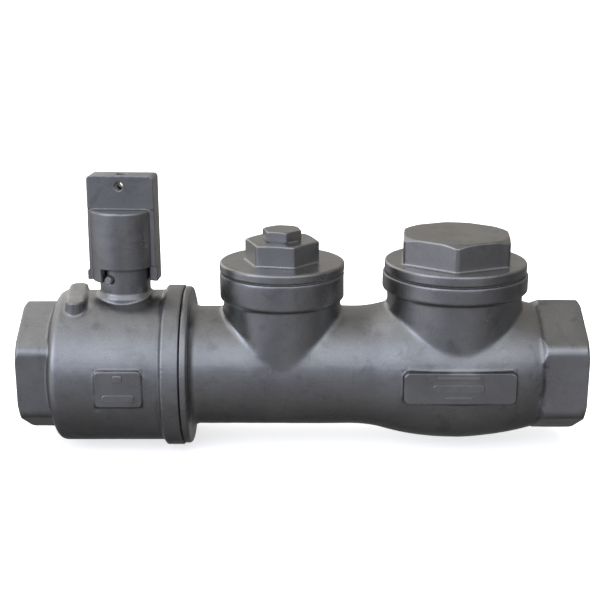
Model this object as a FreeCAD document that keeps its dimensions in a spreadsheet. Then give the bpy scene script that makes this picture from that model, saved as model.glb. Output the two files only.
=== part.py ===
import FreeCAD, Part
import Sketcher
import math
import os

# Two-inch inline assembly: quarter-turn ball valve, cleanout port and swing check valve.
# Frame: X runs along the pipe from the outlet end face, Z is up (stem and caps), and Y is
# across, with the front at -Y. All lengths are millimetres and all angles degrees.

Vector = FreeCAD.Vector
Rotation = FreeCAD.Rotation
Placement = FreeCAD.Placement
doc = FreeCAD.newDocument("valve_assembly")

# ---------------------------------------------------------------- driving dimensions
SIZES = [
    ("overall_length", 332.0),
    ("thread_wall", 30.15), ("thread_depth", 24.0), ("passage_rad", 25.4),
    ("tube_bore_rad", 28.0), ("left_hex_flats", 70.8), ("left_hex_end", 21.5),
    ("right_hex_flats", 72.2), ("right_hex_start", 303.0),
    ("hex_corner_rad", 7.6), ("end_chamfer", 1.2),
    # ball valve half
    ("valve_rad", 45.5), ("shoulder_rad", 5.0), ("shoulder_start", 20.0),
    ("ring_start", 82.8), ("ring_step", 85.3), ("ring_rad", 48.5),
    ("joint_face", 95.3), ("flange_rad", 47.6), ("flange_end", 99.9), ("tube_rad", 35.8),
    ("stem_axis", 60.5), ("ball_rad", 37.0), ("ball_bore_rad", 25.0), ("ball_gap", 0.03),
    ("chamber_rad", 39.0), ("chamber_end", 78.0), ("join_rad", 41.5),
    ("seal_start", 91.8), ("seal_rad", 44.2),
    ("seat_out_rad", 34.0), ("seat_in_rad", 25.5), ("seat_half", 22.3), ("seat_back", 29.5),
    ("slot_width", 8.2), ("slot_floor", 31.5),
    ("neck_rad", 14.95), ("neck_top", 68.0), ("stem_rad", 8.0), ("stem_gap", 0.05),
    ("washer_seat", 41.5), ("stem_collar_rad", 10.8), ("square_side", 11.0),
    ("groove_floor", 6.4), ("groove_low", 46.0), ("groove_high", 51.0),
    ("groove_width", 2.0), ("oring_cord", 0.8),
    ("bar_top", 45.8), ("bar_half_width", 5.6), ("bar_half_length", 19.2),
    ("bar_mid_x", 31.6), ("bar_skew", 6.8),
    ("front_pad_face", 45.9), ("front_pad_left", 47.0), ("front_pad_right", 74.0),
    ("front_pad_half", 11.0),
    # operating head
    ("head_top", 116.8), ("tongue_top_half", 19.6), ("tongue_foot_half", 19.9),
    ("tongue_shift", 0.5), ("tongue_yaw", -4.5), ("tongue_half_thick", 7.5),
    ("head_rad", 19.2), ("skirt_low", 63.2), ("ledge_high", 97.0), ("lug_low", 53.9),
    ("lug_step", 55.0), ("lug_reach", 1.3), ("lug_high", 6.4), ("rim_rad", 1.5),
    ("skirt_in_rad", 15.8), ("square_low", 70.0), ("square_high", 84.5),
    ("screw_seat", 88.5), ("cross_hole_rad", 2.5), ("cross_hole_z", 110.8),
    ("top_hole_rad", 2.9), ("pin_rad", 2.4), ("pin_z", 56.4), ("pin_angle", -117.7),
    ("pin_reach", 17.4), ("lug_right_from", -18.0), ("lug_right_to", 18.0),
    ("lug_left_from", 162.0), ("lug_left_to", 231.5),
    # cleanout port
    ("clean_axis", 154.0), ("clean_neck_rad", 35.0), ("clean_collar_rad", 37.0),
    ("clean_collar_low", 42.0), ("clean_face", 58.8), ("clean_thread_rad", 28.5),
    ("clean_thread_low", 45.0), ("clean_bore_rad", 27.0),
    ("gasket_thick", 0.7), ("clean_flange_rad", 37.1), ("clean_flange_top", 65.0),
    ("clean_hex_flats", 39.2), ("clean_cap_top", 77.9), ("clean_hex_turn", -71.0),
    ("plug_thread_rad", 8.3), ("plug_washer_thick", 0.4),
    ("plug_flats", 21.0), ("plug_top", 84.3), ("plug_turn", -77.0),
    # check valve half
    ("check_axis", 257.1), ("check_neck_rad", 40.1), ("check_collar_rad", 43.1),
    ("check_collar_low", 47.5), ("check_face", 58.7), ("check_thread_rad", 35.0),
    ("check_thread_low", 46.0), ("check_flange_rad", 42.0), ("check_flange_top", 65.7),
    ("check_hex_flats", 61.8), ("check_cap_top", 81.9), ("check_hex_turn", -96.3),
    ("belly_start", 196.0), ("belly_rise", 214.0), ("belly_rise_rad", 38.1),
    ("belly_peak", 259.0), ("belly_rad", 44.1), ("belly_end", 306.0), ("belly_end_rad", 37.0),
    ("chamber2_rad", 38.4), ("end_wall", 289.0), ("well_rad", 35.8), ("well_low", 13.0),
    ("rear_pad_face", 44.7), ("rear_pad_left", 224.2), ("rear_pad_right", 289.0),
    ("rear_pad_half", 9.5),
    ("seat_x", 281.5), ("seat_tilt", 5.0), ("seat_boss_rad", 30.0),
    ("hinge_x", 280.0), ("hinge_z", 36.0), ("hinge_pin_rad", 3.0), ("hinge_gap", 0.05),
    ("hinge_front", -28.8), ("hinge_rear", 27.5), ("hinge_plug_rad", 6.0),
    ("hinge_socket_face", -24.0), ("hinge_socket_half", 6.5),
    ("hinge_boss_rad", 10.5), ("hinge_boss_face", 39.6),
    ("disc_rad", 28.5), ("disc_thick", 5.0), ("arm_thick", 6.0), ("arm_width", 15.0),
    ("hub_rad", 6.4), ("stud_rad", 4.0),
]

OVERCUT = 1.0         # how far a cut runs past the face it opens
EDGE = 0.6            # chamfer on the turned outer edges of bodies and caps
THREAD_CHAMFER = 0.4  # chamfer at the mouth of each pipe thread
THREAD_RUNOUT = 2.5   # taper from each pipe thread down to the passage
THREAD_FIT = 0.05     # radial gap at the caps, the test plug and their rings
CORNER_LOSS = 0.1547  # reach lost by rounding a hexagon's corner, per unit of corner radius
SQRT3 = math.sqrt(3.0)
ORIGIN = (0, 0, 0)

sheet = doc.addObject("Spreadsheet::Sheet", "sizes")
for row, (alias, value) in enumerate(SIZES, start=1):
    sheet.set("A%d" % row, alias)
    sheet.set("B%d" % row, str(value))
    sheet.setAlias("B%d" % row, alias)
doc.recompute()


class Dim:
    """A size together with the sheet expression that gives it."""

    def __init__(self, value, text):
        self.value = float(value)
        self.text = text

    def __add__(self, other):
        other = dim(other)
        return Dim(self.value + other.value, "(%s + %s)" % (self.text, other.text))

    def __sub__(self, other):
        other = dim(other)
        return Dim(self.value - other.value, "(%s - %s)" % (self.text, other.text))

    def __rsub__(self, other):
        return dim(other) - self

    def __mul__(self, other):
        other = dim(other)
        return Dim(self.value * other.value, "(%s * %s)" % (self.text, other.text))

    def __truediv__(self, other):
        other = dim(other)
        return Dim(self.value / other.value, "(%s / %s)" % (self.text, other.text))

    def __neg__(self):
        return Dim(-self.value, "(0 - %s)" % self.text)


def dim(x):
    if isinstance(x, Dim):
        return x
    return Dim(x, repr(float(x)) if x >= 0 else "(0 - %r)" % float(-x))


def root_of(x):
    return Dim(math.sqrt(x.value), "sqrt(%s)" % x.text)


class Sizes:
    """Sizes read by name, as in size.ball_rad."""

    def __init__(self, dims):
        self.__dict__.update(dims)


def port_sizes(port):
    """The sizes of one port, read without its prefix."""
    prefix = port + "_"
    return Sizes({alias[len(prefix):]: item for alias, item in vars(size).items()
                  if alias.startswith(prefix)})


size = Sizes({alias: Dim(value, "sizes." + alias) for alias, value in SIZES})
clean = port_sizes("clean")
check = port_sizes("check")


# ---------------------------------------------------------------- bodies and sketches
serial = iter(range(1, 1000))


def bind(obj, path, item):
    """Ties a property to the sheet, unless its size is a plain number."""
    if "sizes." in item.text:
        obj.setExpression(path, item.text)


def make_body(label, x=0, z=0, rotation=None):
    body = doc.addObject("PartDesign::Body", label)
    body.Label = label
    x, z = dim(x), dim(z)
    body.Placement = Placement(Vector(x.value, 0, z.value), rotation or Rotation())
    bind(body, "Placement.Base.x", x)
    bind(body, "Placement.Base.z", z)
    return body


def new_sketch(body, plane, off=ORIGIN, turn=0.0, yaw=0.0):
    """Sketch on an origin plane, moved by off in the plane's own axes, then turned in its
    plane or yawed about its own vertical. The normal of XZ_Plane points to -Y."""
    sk = body.newObject("Sketcher::SketchObject", "sketch_%03d" % next(serial))
    support = next(f for f in body.Origin.OriginFeatures if f.Role == plane)
    sk.AttachmentSupport = [(support, "")]
    sk.MapMode = "FlatFace"
    off = [dim(item) for item in off]
    spin = Rotation(Vector(0, 1, 0), yaw) if yaw else Rotation(Vector(0, 0, 1), turn)
    sk.AttachmentOffset = Placement(Vector(*[item.value for item in off]), spin)
    for axis, item in zip("xyz", off):
        bind(sk, "AttachmentOffset.Base." + axis, item)
    return sk


def add_sized(sk, item, *rule):
    index = sk.addConstraint(Sketcher.Constraint(*rule, item.value))
    bind(sk, "Constraints[%d]" % index, item)


def pin_point(sk, geo, pos, x, y):
    for item, kind, axis in ((dim(x), "DistanceX", -2), (dim(y), "DistanceY", -1)):
        if item.value == 0 and "sizes." not in item.text:
            sk.addConstraint(Sketcher.Constraint("PointOnObject", geo, pos, axis))
        else:
            add_sized(sk, item, kind, -1, 1, geo, pos)


def add_side(sk, start, end, radius):
    """Adds the line, or the arc if there is a radius, from start to end.
    Returns the vertex numbers of its start and end."""
    if radius is None:
        sk.addGeometry(Part.LineSegment(start, end), False)
        return 1, 2
    span = end - start
    half = span.Length / 2
    arc_rad = max(abs(radius), half)
    side = Vector(-span.y, span.x, 0).normalize()
    rise = math.sqrt(max(arc_rad * arc_rad - half * half, 0.0))
    centre = (start + end) * 0.5 + side * (rise if radius > 0 else -rise)
    from_angle = math.atan2(start.y - centre.y, start.x - centre.x)
    to_angle = math.atan2(end.y - centre.y, end.x - centre.x)
    if radius < 0:
        from_angle, to_angle = to_angle, from_angle
    while to_angle <= from_angle:
        to_angle += 2 * math.pi
    full = Part.Circle(centre, Vector(0, 0, 1), arc_rad)
    sk.addGeometry(Part.ArcOfCircle(full, from_angle, to_angle), False)
    return (1, 2) if radius > 0 else (2, 1)


def outline(sk, points):
    """Closed outline. Each point is (x, y) or (x, y, r): r is the radius of the arc from that
    point to the next, positive when the arc turns counter-clockwise."""
    corners = [Vector(dim(p[0]).value, dim(p[1]).value, 0) for p in points]
    count = len(points)
    ends = []
    for i, point in enumerate(points):
        radius = dim(point[2]).value if len(point) == 3 else None
        ends.append(add_side(sk, corners[i], corners[(i + 1) % count], radius))
    for i in range(count):
        j = (i + 1) % count
        sk.addConstraint(Sketcher.Constraint("Coincident", i, ends[i][1], j, ends[j][0]))
    for i, point in enumerate(points):
        pin_point(sk, i, ends[i][0], point[0], point[1])
        if len(point) == 3:
            radius = dim(point[2])
            add_sized(sk, radius if radius.value > 0 else -radius, "Radius", i)


def circle(sk, x, y, radius):
    x, y, radius = dim(x), dim(y), dim(radius)
    round_edge = Part.Circle(Vector(x.value, y.value, 0), Vector(0, 0, 1), radius.value)
    geo = sk.addGeometry(round_edge, False)
    pin_point(sk, geo, 3, x, y)
    add_sized(sk, radius, "Radius", geo)


# ---------------------------------------------------------------- point lists
def rectangle(x0, y0, x1, y1):
    return [(x0, y0), (x1, y0), (x1, y1), (x0, y1)]


def round_ended(half_width, half_length, end_rad):
    """Bar along Y whose ends are arcs."""
    return [(half_width, -half_length), (half_width, half_length, end_rad),
            (-half_width, half_length), (-half_width, -half_length, end_rad)]


def hex_points(flats, corner, start):
    """Hexagon round the sketch origin with rounded corners, one of them at angle start."""
    reach = dim(flats) / SQRT3
    cut = corner * math.tan(math.radians(30))
    points = []
    for k in range(6):
        angle = math.radians(start + 60 * k)
        for side in (-1, 1):
            along = angle + side * math.radians(120)
            x = reach * math.cos(angle) + cut * math.cos(along)
            y = reach * math.sin(angle) + cut * math.sin(along)
            points.append((x, y, corner) if side == -1 else (x, y))
    return points


def hex_reach(flats, corner):
    """Distance from the centre to a rounded corner."""
    return flats / SQRT3 - corner * CORNER_LOSS


# ---------------------------------------------------------------- features
def revolve(body, sk, axis, cut):
    kind = "PartDesign::Groove" if cut else "PartDesign::Revolution"
    feature = body.newObject(kind, "turn_%03d" % next(serial))
    feature.Profile = sk
    feature.ReferenceAxis = (sk, [axis])
    feature.Angle = 360
    sk.Visibility = False
    doc.recompute()


def extrude(body, sk, length, cut=False, backward=False, midplane=False):
    """Pad or pocket along the sketch normal, against it if backward, or to both sides."""
    kind = "PartDesign::Pocket" if cut else "PartDesign::Pad"
    feature = body.newObject(kind, "pull_%03d" % next(serial))
    feature.Profile = sk
    length = dim(length)
    feature.Length = length.value
    bind(feature, "Length", length)
    feature.Midplane = midplane
    # an unreversed pocket runs against the normal
    feature.Reversed = backward or (cut and not midplane)
    sk.Visibility = False
    doc.recompute()


def turn_x(body, points, off=ORIGIN, turn=0.0, plane="XZ_Plane", cut=False):
    """Turns (x, radius) points about X, or about the axis that off and turn give."""
    sk = new_sketch(body, plane, off, turn)
    outline(sk, points)
    revolve(body, sk, "H_Axis", cut)


def turn_z(body, points, x=0, cut=False):
    """Turns (radius, z) points about the vertical axis at x."""
    sk = new_sketch(body, "XZ_Plane", (x, 0, 0))
    outline(sk, points)
    revolve(body, sk, "V_Axis", cut)


def turn_y(body, points, x=0, z=0, cut=False):
    """Turns (radius, y) points about the axis along Y at x and z."""
    sk = new_sketch(body, "XY_Plane", (x, 0, z))
    outline(sk, points)
    revolve(body, sk, "V_Axis", cut)


def pull(body, plane, points, length, off=ORIGIN, turn=0.0, yaw=0.0, **direction):
    sk = new_sketch(body, plane, off, turn, yaw)
    outline(sk, points)
    extrude(body, sk, length, **direction)


def pull_round(body, plane, centre, radii, length, off=ORIGIN, yaw=0.0, **direction):
    """Extrudes a circle, or the ring between two circles."""
    sk = new_sketch(body, plane, off, yaw=yaw)
    for radius in radii:
        circle(sk, *centre, radius)
    extrude(body, sk, length, **direction)


def ring(label, inner_rad, outer_rad, low, high, x):
    """Plain ring about the vertical axis at x."""
    turn_z(make_body(label, x), rectangle(inner_rad, low, outer_rad, high))


def cast_pad(body, left, right, half, face, corner):
    """Flat pad with rounded corners on the front of a body, seen from the front."""
    buried = 30.0
    pull(body, "XZ_Plane", [
        (left + corner, -half), (right - corner, -half, corner),
        (right, corner - half), (right, half - corner, corner),
        (right - corner, half), (left + corner, half, corner),
        (left, half - corner), (left, corner - half, corner),
    ], face - buried, off=(0, 0, buried))


# ---------------------------------------------------------------- ball valve body
def ball_valve_body():
    body = make_body("ball_valve_body")
    reach = hex_reach(size.left_hex_flats, size.hex_corner_rad)
    pull(body, "YZ_Plane",
         hex_points(size.left_hex_flats, size.hex_corner_rad.value, 90), size.left_hex_end)
    # bevel on the outlet hexagon's end corners
    turn_x(body, [
        (-OVERCUT, reach + 5), (-OVERCUT, reach - 3.05), (0, reach - 1.8),
        (size.end_chamfer, reach - 0.3), (size.end_chamfer + 2, reach + 5),
    ], cut=True)
    # barrel from the shoulder to the joint
    start, round_rad = size.shoulder_start, size.shoulder_rad
    face = size.joint_face
    turn_x(body, [
        (start - 2.5, 0), (start - 2.5, 35.5), (start, size.valve_rad - round_rad, -round_rad),
        (start + round_rad, size.valve_rad), (size.ring_step - 2.0, size.valve_rad),
        (size.ring_step, size.ring_rad), (face - EDGE, size.ring_rad),
        (face, size.ring_rad - EDGE), (face, 0),
    ])
    # cast stop bar across the shoulder
    bar_base = 28.0
    pull(body, "XY_Plane",
         round_ended(size.bar_half_width, size.bar_half_length, size.bar_half_width * 1.03),
         size.bar_top - bar_base, off=(size.bar_mid_x, -2.0, bar_base),
         turn=size.bar_skew.value)
    cast_pad(body, size.front_pad_left, size.front_pad_right, size.front_pad_half,
             size.front_pad_face, corner=3)
    # stem neck, flared into the body
    neck_rad, neck_top = size.neck_rad, size.neck_top
    turn_z(body, [
        (0, 40), (neck_rad + 1.6, 40), (neck_rad + 1.6, 45.4), (neck_rad, 47.2),
        (neck_rad, neck_top - EDGE), (neck_rad - EDGE, neck_top), (0, neck_top),
    ], x=size.stem_axis)
    bore_ball_valve(body)


def bore_ball_valve(body):
    # thread, passage, seat pocket, ball chamber, joint thread and seal seat
    wall, depth = size.thread_wall, size.thread_depth
    seat_back_x = size.stem_axis - size.seat_back
    seat_front_x = size.stem_axis - size.seat_half
    open_x = size.joint_face + OVERCUT
    turn_x(body, [
        (-OVERCUT, 0), (-OVERCUT, wall + THREAD_CHAMFER), (0, wall + THREAD_CHAMFER),
        (THREAD_CHAMFER, wall), (depth, wall), (depth + THREAD_RUNOUT, size.passage_rad),
        (seat_back_x, size.passage_rad), (seat_back_x, size.seat_out_rad),
        (seat_front_x, size.seat_out_rad), (seat_front_x, size.chamber_rad),
        (size.chamber_end, size.chamber_rad), (size.chamber_end, size.join_rad),
        (size.seal_start, size.join_rad), (size.seal_start, size.seal_rad),
        (open_x, size.seal_rad), (open_x, 0),
    ], cut=True)
    # stem bore and thrust washer pocket
    washer_pocket_rad = 11.5
    bore_rad = size.stem_rad + size.stem_gap
    turn_z(body, [
        (0, 30), (washer_pocket_rad, 30), (washer_pocket_rad, size.washer_seat),
        (bore_rad, size.washer_seat), (bore_rad, size.neck_top + OVERCUT),
        (0, size.neck_top + OVERCUT),
    ], x=size.stem_axis, cut=True)
    # blind cross hole for the stop pin, from the neck's outside
    turn_x(body, rectangle(STOP_PIN_START, 0, 20, size.pin_rad), plane="XY_Plane",
           off=(size.stem_axis, 0, size.pin_z), turn=size.pin_angle.value, cut=True)


# ---------------------------------------------------------------- check valve body
def check_valve_body():
    """The inlet half: check chamber, cleanout port and the nose that holds the inlet seat."""
    body = make_body("check_valve_body")
    add_inlet_hex(body)
    add_check_shell(body)
    bore_check_valve(body)
    add_check_seat(body)
    add_hinge_socket(body)


def add_inlet_hex(body):
    reach = hex_reach(size.right_hex_flats, size.hex_corner_rad)
    end, start = size.overall_length, size.right_hex_start
    pull(body, "YZ_Plane",
         hex_points(size.right_hex_flats, size.hex_corner_rad.value, 90),
         end - start, off=(0, 0, start))
    # bevel on the corners at the end face, then at the body
    turn_x(body, [
        (end - size.end_chamfer - 2, reach + 5), (end - size.end_chamfer, reach - 0.3),
        (end, reach - 1.8), (end + OVERCUT, reach - 3.05), (end + OVERCUT, reach + 5),
    ], cut=True)
    turn_x(body, [
        (start - 1, 36.9), (start + 1, 37.3), (start + 4.5, reach - 0.1),
        (start + 4.6, reach + 5), (start - 1, reach + 5),
    ], cut=True)


def port_neck(body, port, base, collar_step):
    """Neck with a wider collar at its top, up to the port's face."""
    turn_z(body, [
        (0, base), (port.neck_rad, base), (port.neck_rad, port.collar_low),
        (port.collar_rad, port.collar_low + collar_step), (port.collar_rad, port.face - EDGE),
        (port.collar_rad - EDGE, port.face), (0, port.face),
    ], x=port.axis)


def add_check_shell(body):
    # nose, joint flange, tube and belly
    nose, join_rad, nose_edge = size.ring_start, size.join_rad, 0.4
    face, seal_x = size.joint_face, size.joint_face - SEAL_SETBACK
    rim_rad, back, rim_fillet = size.flange_rad, size.flange_end, 1.8
    tube_rad, foot_fillet = size.tube_rad, 4.5
    end_x = size.belly_end + 2.5
    turn_x(body, [
        (nose, 0), (nose, join_rad - nose_edge), (nose + nose_edge, join_rad),
        (seal_x, join_rad), (seal_x, size.seal_rad), (face, size.seal_rad),
        (face, rim_rad - EDGE), (face + EDGE, rim_rad),
        (back - rim_fillet, rim_rad, -rim_fillet), (back, rim_rad - rim_fillet),
        (back, tube_rad + foot_fillet, foot_fillet), (back + foot_fillet, tube_rad),
        (size.belly_start, tube_rad, 65.0), (size.belly_rise, size.belly_rise_rad, -165.0),
        (size.belly_peak, size.belly_rad, -190.0), (size.belly_end, size.belly_end_rad),
        (end_x, 35.3), (end_x, 0),
    ])
    port_neck(body, clean, base=0, collar_step=2.0)
    port_neck(body, check, base=10, collar_step=1.8)
    cast_pad(body, size.rear_pad_left, size.rear_pad_right, size.rear_pad_half,
             size.rear_pad_face, corner=3.5)
    # boss at the rear for the hinge pin plug
    boss_rad, boss_face, boss_edge = size.hinge_boss_rad, size.hinge_boss_face, 0.8
    turn_y(body, [
        (0, 24), (boss_rad + 1.0, 24), (boss_rad, boss_face - boss_edge),
        (boss_rad - boss_edge, boss_face), (0, boss_face),
    ], x=size.hinge_x, z=size.hinge_z)


def bore_check_valve(body):
    # along the pipe: seat pocket in the nose, tube, check chamber
    nose_open = size.ring_start - OVERCUT
    seat_back_x = size.stem_axis + size.seat_back
    turn_x(body, [
        (nose_open, 0), (nose_open, size.seat_out_rad), (seat_back_x, size.seat_out_rad),
        (seat_back_x, size.passage_rad), (size.joint_face + 2, size.passage_rad),
        (size.joint_face + 6, size.tube_bore_rad),
        (size.belly_start + 4, size.tube_bore_rad, 60.0),
        (size.belly_rise + 2, size.belly_rise_rad - 7.3, -150.0),
        (size.belly_peak - 2, size.chamber2_rad, -190.0),
        (size.end_wall, 36.3), (size.end_wall, 0),
    ], cut=True)
    # cleanout port bore and thread
    turn_z(body, [
        (0, 0), (clean.bore_rad, 0), (clean.bore_rad, clean.thread_low),
        (clean.thread_rad, clean.thread_low + 1.5), (clean.thread_rad, clean.face + OVERCUT),
        (0, clean.face + OVERCUT),
    ], x=clean.axis, cut=True)
    # well under the check port, flat against the end wall
    well_rad, wall_x = size.well_rad, size.end_wall
    wall_off = wall_x - check.axis
    half = root_of(well_rad * well_rad - wall_off * wall_off)
    pull(body, "XY_Plane",
         [(wall_x, -half), (wall_x, half, well_rad), (check.axis - well_rad, 0, well_rad)],
         check.thread_low - size.well_low, off=(0, 0, size.well_low), cut=True)
    # check port thread, with a taper below it
    turn_z(body, [
        (0, 40), (check.thread_rad - 6, 40), (check.thread_rad, check.thread_low),
        (check.thread_rad, check.face + OVERCUT), (0, check.face + OVERCUT),
    ], x=check.axis, cut=True)


def add_check_seat(body):
    # inclined seat boss on the end wall
    boss_rad, boss_depth = size.seat_boss_rad, 10.5
    turn_x(body, [
        (0, 23), (boss_depth, 23), (boss_depth, boss_rad + 1.2), (3.0, boss_rad), (0, boss_rad),
    ], off=(size.seat_x, 0, 0), turn=-size.seat_tilt.value)
    # inlet passage and thread
    start_x, end = size.seat_x - 8, size.overall_length
    inlet_rad = size.passage_rad - 0.4
    wall, thread_x = size.thread_wall, end - size.thread_depth
    turn_x(body, [
        (start_x, 0), (start_x, inlet_rad), (thread_x - THREAD_RUNOUT, inlet_rad),
        (thread_x, wall), (end - THREAD_CHAMFER, wall), (end, wall + THREAD_CHAMFER),
        (end + OVERCUT, wall + THREAD_CHAMFER), (end + OVERCUT, 0),
    ], cut=True)


def add_hinge_socket(body):
    # thickening inside the front wall that the hinge pin's blind end sits in
    face, half = size.hinge_socket_face.value, size.hinge_socket_half.value
    pin_x, pin_z = size.hinge_x.value, size.hinge_z.value
    mid_wall = size.well_rad.value + 2.2
    points = [(pin_x - half, face), (pin_x + half + 0.1, face)]
    for x in (pin_x + 3.5, pin_x, pin_x - 3.5, pin_x - half):
        points.append((x, -math.sqrt(mid_wall ** 2 - (x - check.axis.value) ** 2)))
    pull(body, "XY_Plane", points, 2 * half, off=(0, 0, pin_z - half))
    # hinge pin bore, blind at the front, and plug thread at the rear
    open_y = size.hinge_boss_face + OVERCUT
    turn_y(body, [
        (0, size.hinge_front), (size.hinge_pin_rad, size.hinge_front),
        (size.hinge_pin_rad, size.hinge_rear), (size.hinge_plug_rad, size.hinge_rear),
        (size.hinge_plug_rad, open_y), (0, open_y),
    ], x=size.hinge_x, z=size.hinge_z, cut=True)


# ---------------------------------------------------------------- ball, seats, joint seal
SEAL_SETBACK = 1.5  # from the joint face back to the seal's inlet side


def ball():
    body = make_body("ball", size.stem_axis)
    ball_rad, bore_rad, lip = size.ball_rad, size.ball_bore_rad, 1.2
    lip_rad = bore_rad + lip
    flat = root_of(ball_rad * ball_rad - lip_rad * lip_rad)
    turn_x(body, [(-flat, lip_rad), (-flat + lip, bore_rad),
                  (flat - lip, bore_rad), (flat, lip_rad, ball_rad)])
    # stem slot, and a small hole through the top
    half = size.slot_width / 2
    pull(body, "XY_Plane", rectangle(-half, -30, half, 30), 12.0,
         off=(0, 0, size.slot_floor), cut=True)
    pull_round(body, "XY_Plane", (0, 0), [1.6], 20.0, off=(0, 0, 20.0), cut=True)


def ball_seats():
    """Rings either side of the ball, each cupped to it."""
    cup = size.ball_rad + size.ball_gap
    half, back = size.seat_half, size.seat_back
    outer, inner = size.seat_out_rad, size.seat_in_rad
    rim_rad = root_of(cup * cup - half * half)
    inner_x = root_of(cup * cup - inner * inner)
    turn_x(make_body("ball_seat_outlet", size.stem_axis), [
        (-back, inner), (-inner_x, inner, -cup), (-half, rim_rad), (-half, outer),
        (-back, outer),
    ])
    turn_x(make_body("ball_seat_inlet", size.stem_axis), [
        (back, inner), (back, outer), (half, outer), (half, rim_rad, -cup), (inner_x, inner),
    ])


def body_joint_seal():
    turn_x(make_body("body_joint_seal"),
           rectangle(size.seal_start, size.join_rad,
                     size.joint_face - SEAL_SETBACK, size.seal_rad))


# ---------------------------------------------------------------- stem and its seals
def stem():
    body = make_body("stem", size.stem_axis)
    stem_rad, collar_rad, floor_rad = size.stem_rad, size.stem_collar_rad, size.groove_floor
    collar_low, collar_top, round_top = 37.1, 39.9, 68.5
    points = [(0, collar_low), (collar_rad, collar_low), (collar_rad, collar_top),
              (stem_rad, collar_top)]
    for low in (size.groove_low, size.groove_high):
        high = low + size.groove_width
        points += [(stem_rad, low), (floor_rad, low), (floor_rad, high), (stem_rad, high)]
    turn_z(body, points + [(stem_rad, round_top), (0, round_top)])
    # foot that fits the ball's slot
    foot_half, foot_rad = 4.0, 10.0
    foot_length = math.sqrt(foot_rad ** 2 - foot_half ** 2)
    pull(body, "XY_Plane", round_ended(foot_half, foot_length, foot_rad), 5.8,
         off=(0, 0, 31.8))
    # square drive, and the screw hole down its middle
    half = size.square_side / 2
    pull(body, "XY_Plane", rectangle(-half, -half, half, half), 16.0, off=(0, 0, 68.0))
    pull_round(body, "XY_Plane", (0, 0), [1.5], 20.0, off=(0, 0, 70.0), cut=True)


def stem_o_rings():
    body = make_body("stem_o_rings", size.stem_axis)
    for low in (size.groove_low, size.groove_high):
        sk = new_sketch(body, "XZ_Plane")
        circle(sk, size.groove_floor + size.oring_cord + 0.01, low + size.groove_width / 2,
               size.oring_cord)
        revolve(body, sk, "V_Axis", cut=False)


# ---------------------------------------------------------------- operating head
def clear_sector(body, from_angle, to_angle, top):
    """Cuts the skirt away below top between two angles, which leaves the stop lugs."""
    reach, below = 32.0, 3.0
    points = [(0, 0)]
    for k in range(6):
        angle = math.radians(from_angle + (to_angle - from_angle) * k / 5.0)
        points.append((reach * math.cos(angle), reach * math.sin(angle)))
    pull(body, "XY_Plane", points, top - size.lug_low + below,
         off=(0, 0, size.lug_low - below), cut=True)


def operating_head():
    body = make_body("operating_head", size.stem_axis)
    body.AllowCompound = True
    # flat tongue with rounded top corners and a lug at its left foot
    yaw = size.tongue_yaw.value
    top, low, lug_reach = size.head_top, size.lug_low, size.lug_reach
    mid, top_half, foot_half = size.tongue_shift, size.tongue_top_half, size.tongue_foot_half
    lug_top, corner = low + size.lug_high, 2.2
    pull(body, "XZ_Plane", [
        (mid - foot_half - lug_reach, low), (mid + foot_half, low),
        (mid + top_half, top - corner, corner), (mid + top_half - corner, top),
        (mid + corner - top_half, top, corner), (mid - top_half, top - corner),
        (mid - foot_half, lug_top + lug_reach), (mid - foot_half - lug_reach, lug_top),
    ], size.tongue_half_thick * 2, yaw=yaw, midplane=True)
    # round skirt
    rim, ledge = size.rim_rad, size.ledge_high
    turn_z(body, [(0, low), (size.head_rad, low), (size.head_rad, ledge - rim, rim),
                  (size.head_rad - rim, ledge), (0, ledge)])
    lug_right_from, lug_right_to = size.lug_right_from.value, size.lug_right_to.value
    lug_left_from, lug_left_to = size.lug_left_from.value, size.lug_left_to.value
    clear_sector(body, lug_right_to, lug_left_from, size.skirt_low)
    clear_sector(body, lug_left_to, lug_right_from + 360.0, size.skirt_low)
    clear_sector(body, 152.0, lug_left_to + 4.0, size.lug_step)
    # cavity over the neck
    turn_z(body, rectangle(0, 50, size.skirt_in_rad, size.square_low), cut=True)
    # square drive
    half = size.square_side / 2 + 0.04
    pull(body, "XY_Plane", rectangle(-half, -half, half, half),
         size.square_high - size.square_low + OVERCUT,
         off=(0, 0, size.square_low - OVERCUT), cut=True)
    # screw hole and its seat
    screw_hole_rad = 1.7
    turn_z(body, [
        (0, 80), (screw_hole_rad, 80), (screw_hole_rad, size.screw_seat),
        (size.top_hole_rad, size.screw_seat), (size.top_hole_rad, top + OVERCUT),
        (0, top + OVERCUT),
    ], cut=True)
    # hole across the tongue
    pull_round(body, "XZ_Plane", (0, size.cross_hole_z), [size.cross_hole_rad], 40.0,
               yaw=yaw, cut=True, midplane=True)


def head_screw():
    body = make_body("head_screw", size.stem_axis)
    seat, shank_rad, head_rad = size.screw_seat, 1.5, 2.7
    turn_z(body, [
        (0, 72), (1.1, 72), (shank_rad, 72.5), (shank_rad, seat), (head_rad, seat),
        (head_rad, seat + 2.7), (head_rad - 0.3, seat + 3), (0, seat + 3),
    ])
    pull(body, "XY_Plane", hex_points(2.5, 0.1, 0), 5.0, off=(0, 0, seat + 1.4), cut=True)


STOP_PIN_START = 10.5  # inner end of the stop pin and its hole, from the stem axis


def stop_pin():
    body = make_body("stop_pin", size.stem_axis, size.pin_z,
                     Rotation(Vector(0, 0, 1), size.pin_angle.value))
    start, end, pin_rad, chamfer = STOP_PIN_START, size.pin_reach, size.pin_rad, 0.4
    turn_x(body, [
        (start, 0), (end, 0), (end, pin_rad - chamfer), (end - chamfer, pin_rad),
        (start + chamfer, pin_rad), (start, pin_rad - chamfer),
    ], plane="XY_Plane")


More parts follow.
